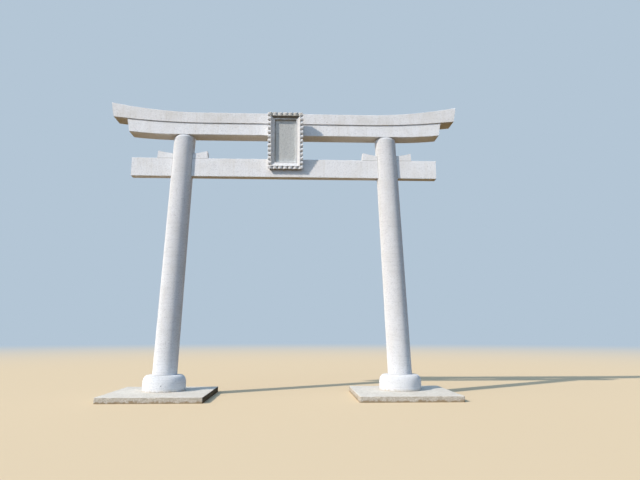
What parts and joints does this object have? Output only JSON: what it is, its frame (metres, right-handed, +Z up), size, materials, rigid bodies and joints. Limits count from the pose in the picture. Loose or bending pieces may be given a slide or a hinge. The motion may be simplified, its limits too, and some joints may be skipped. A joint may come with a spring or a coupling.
{
  "type": "torii gate",
  "caption": "Granite torii gate with leaning round columns, a wedged tie beam, a curved lintel in two courses and a leaning framed tablet.",
  "frame": {"origin": "on the ground, in the middle between the two columns and of the ground slabs' depth", "axes": "+X along the gate, to the right of someone facing its tablet; +Y from the front, where the tablet is, to the back; +Z up"},
  "size_m": [9.4246, 2.6, 7.791],
  "materials": {
    "concrete": "floated concrete with rough, soil-stained edges",
    "base_granite": "fine bush-hammered white granite",
    "column_granite": "fine bush-hammered white granite",
    "beam_granite": "fine bush-hammered white granite",
    "top_granite": "bush-hammered white granite, weathered",
    "panel_granite": "sawn and honed grey granite",
    "frame_granite": "carved and honed white granite",
    "steel": "dull galvanised steel"
  },
  "bodies": {
    "root": {"left_ground_slab": "concrete", "right_ground_slab": "concrete", "left_base_stone": "base_granite", "right_base_stone": "base_granite", "left_column": "column_granite", "right_column": "column_granite", "tie_beam_left_end": "beam_granite", "tie_beam_middle": "beam_granite", "tie_beam_right_end": "beam_granite", "left_outer_wedge": "beam_granite", "left_inner_wedge": "beam_granite", "right_inner_wedge": "beam_granite", "right_outer_wedge": "beam_granite", "lower_lintel_left": "beam_granite", "lower_lintel_right": "beam_granite", "upper_lintel_left": "top_granite", "upper_lintel_right": "top_granite", "strut": "beam_granite", "tablet_panel": "panel_granite", "frame_top_rail": "frame_granite", "frame_bottom_rail": "frame_granite", "frame_left_rail": "frame_granite", "frame_right_rail": "frame_granite", "upper_left_stay": "steel", "upper_right_stay": "steel", "lower_left_stay": "steel", "lower_right_stay": "steel"}
  },
  "joints": []
}
